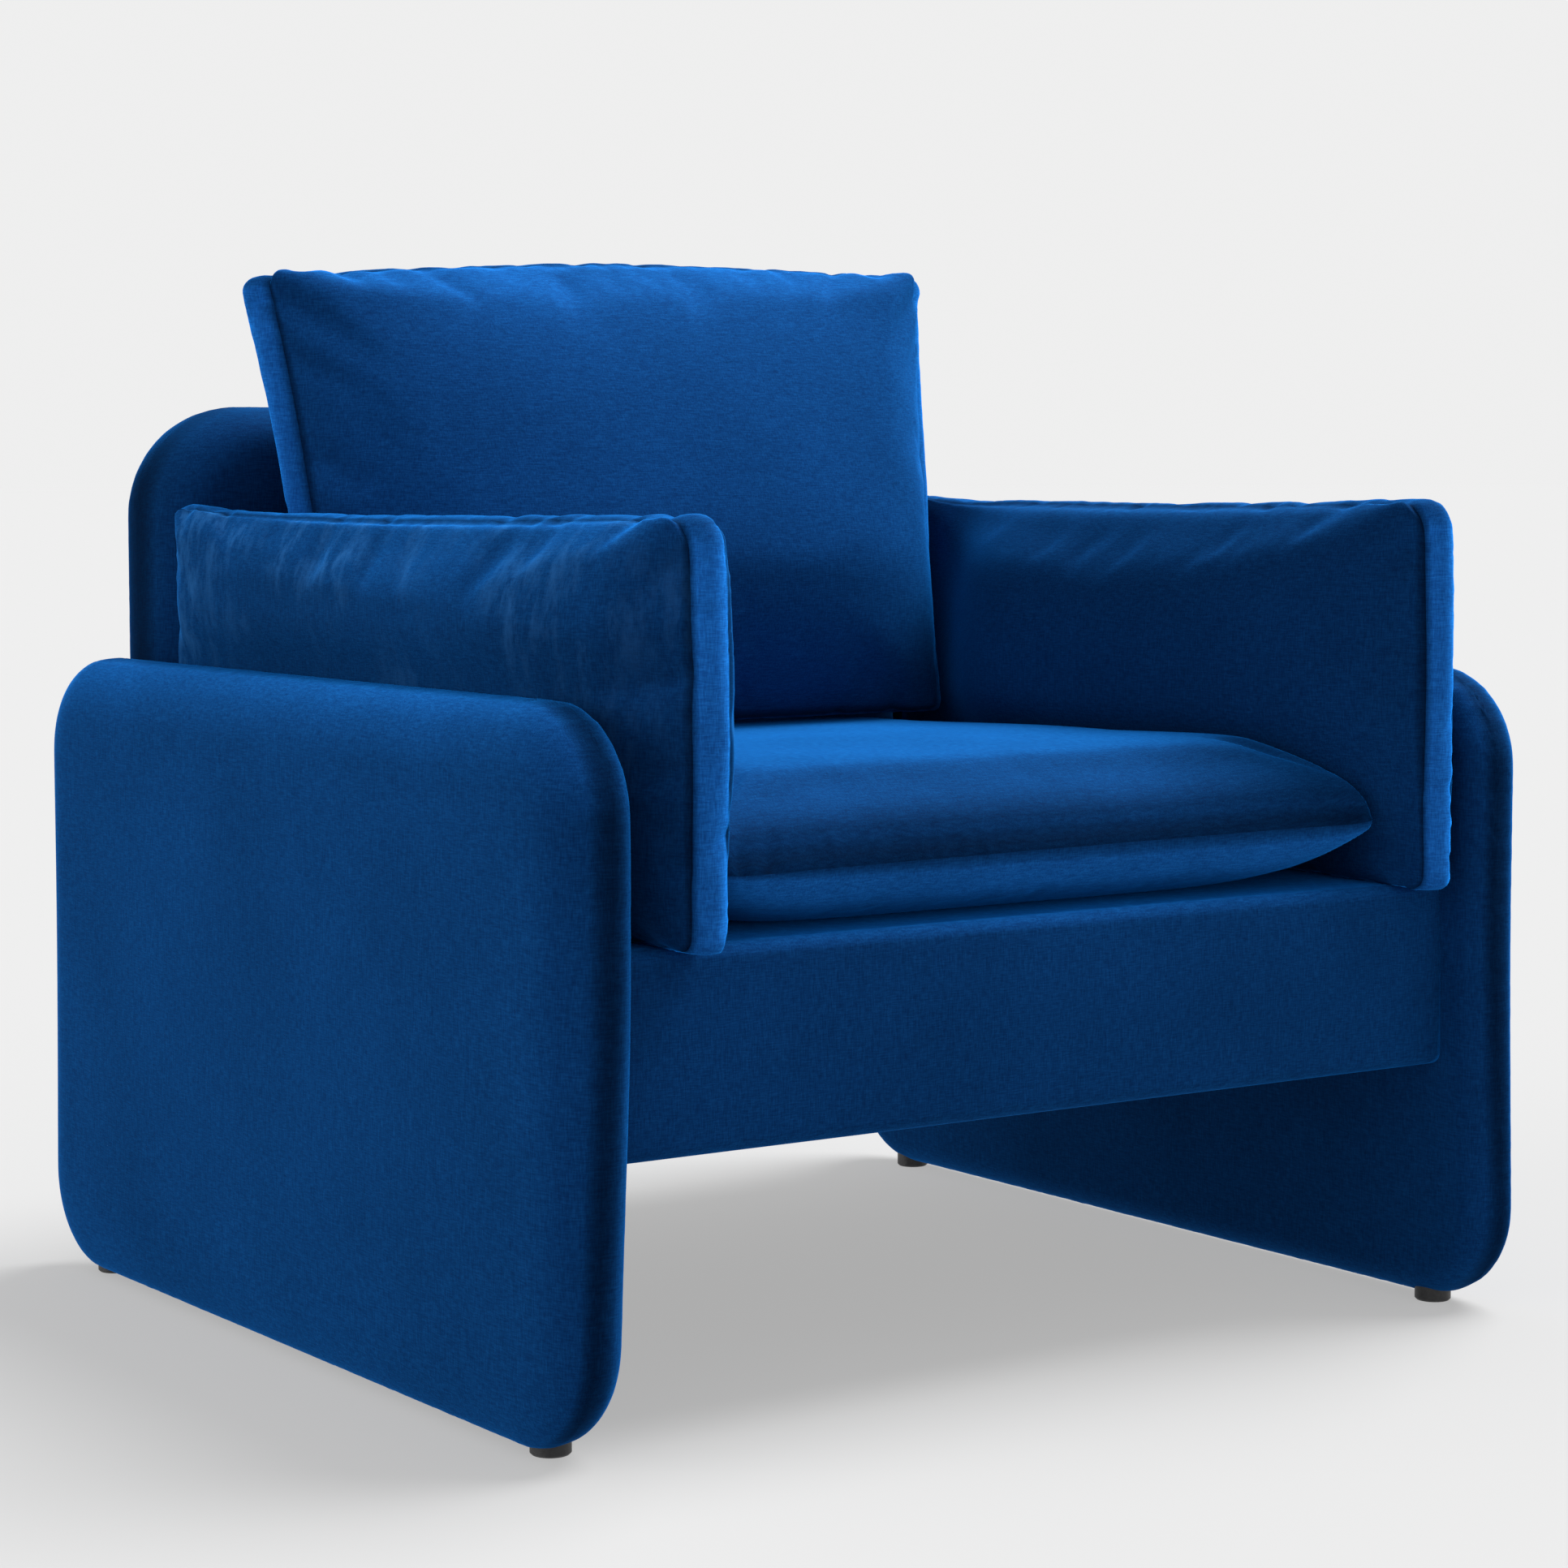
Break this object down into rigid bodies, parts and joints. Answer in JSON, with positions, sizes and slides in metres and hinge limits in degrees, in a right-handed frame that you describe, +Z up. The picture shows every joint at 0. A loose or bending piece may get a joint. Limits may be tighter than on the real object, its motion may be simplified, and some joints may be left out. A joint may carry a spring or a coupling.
{
  "type": "upholstered armchair",
  "caption": "Low lounge armchair with upholstered slab arms that reach the floor, a panel back, and loose seat, back and side cushions in velvet.",
  "frame": {"origin": "on the floor, at the middle of the chair's width and depth", "axes": "+X to the right seen from the front, +Y towards the back of the chair, +Z up; the sitter faces -Y"},
  "size_m": [0.928, 0.878, 0.8761],
  "materials": {
    "velvet": "matte",
    "foam": "matte",
    "cushion_fill": "matte",
    "timber": "matte",
    "plywood": "matte",
    "zinc_steel": "satin",
    "webbing": "matte",
    "dust_cloth": "matte",
    "foot_plastic": "matte"
  },
  "bodies": {
    "frame": {"apron_foam": "foam", "arm_bolts": "zinc_steel", "back_bolts": "zinc_steel", "back_bottom_rail": "timber", "back_cover": "velvet", "back_foam": "foam", "back_front_board": "plywood", "back_left_post": "timber", "back_right_post": "timber", "back_top_rail": "timber", "bolt_washers": "zinc_steel", "dust_cover": "dust_cloth", "foot_screws": "zinc_steel", "left_arm_bolt_rail": "timber", "left_arm_bottom_rail": "timber", "left_arm_cover": "velvet", "left_arm_foam": "foam", "left_arm_front_post": "timber", "left_arm_inner_board": "plywood", "left_arm_outer_board": "plywood", "left_arm_rear_post": "timber", "left_arm_top_rail": "timber", "left_front_foot": "foot_plastic", "left_rear_foot": "foot_plastic", "right_arm_bolt_rail": "timber", "right_arm_bottom_rail": "timber", "right_arm_cover": "velvet", "right_arm_foam": "foam", "right_arm_front_post": "timber", "right_arm_inner_board": "plywood", "right_arm_outer_board": "plywood", "right_arm_rear_post": "timber", "right_arm_top_rail": "timber", "right_front_foot": "foot_plastic", "right_rear_foot": "foot_plastic", "seat_base_cover": "velvet", "seat_corner_blocks": "timber", "seat_deck_foam": "foam", "seat_front_rail": "timber", "seat_left_rail": "timber", "seat_rear_rail": "timber", "seat_right_rail": "timber", "seat_webbing_crosswise": "webbing", "seat_webbing_lengthwise": "webbing", "threaded_inserts": "zinc_steel"},
    "seat_cushion": {"seat_cushion_cover": "velvet", "seat_cushion_insert": "cushion_fill"},
    "back_cushion": {"back_cushion_cover": "velvet", "back_cushion_insert": "cushion_fill"},
    "left_pillow": {"left_pillow_cover": "velvet", "left_pillow_insert": "cushion_fill"},
    "right_pillow": {"right_pillow_cover": "velvet", "right_pillow_insert": "cushion_fill"}
  },
  "joints": [
    {"name": "seat_cushion_slide", "type": "slide", "parent": "frame", "child": "seat_cushion", "axis": [0, -1, 0], "range_m": [0, 0.35]},
    {"name": "back_cushion_lift", "type": "slide", "parent": "frame", "child": "back_cushion", "axis": [0, 0, 1], "range_m": [0, 0.3]},
    {"name": "left_pillow_lift", "type": "slide", "parent": "frame", "child": "left_pillow", "axis": [0, 0, 1], "range_m": [0, 0.33]},
    {"name": "right_pillow_lift", "type": "slide", "parent": "frame", "child": "right_pillow", "axis": [0, 0, 1], "range_m": [0, 0.33]}
  ]
}
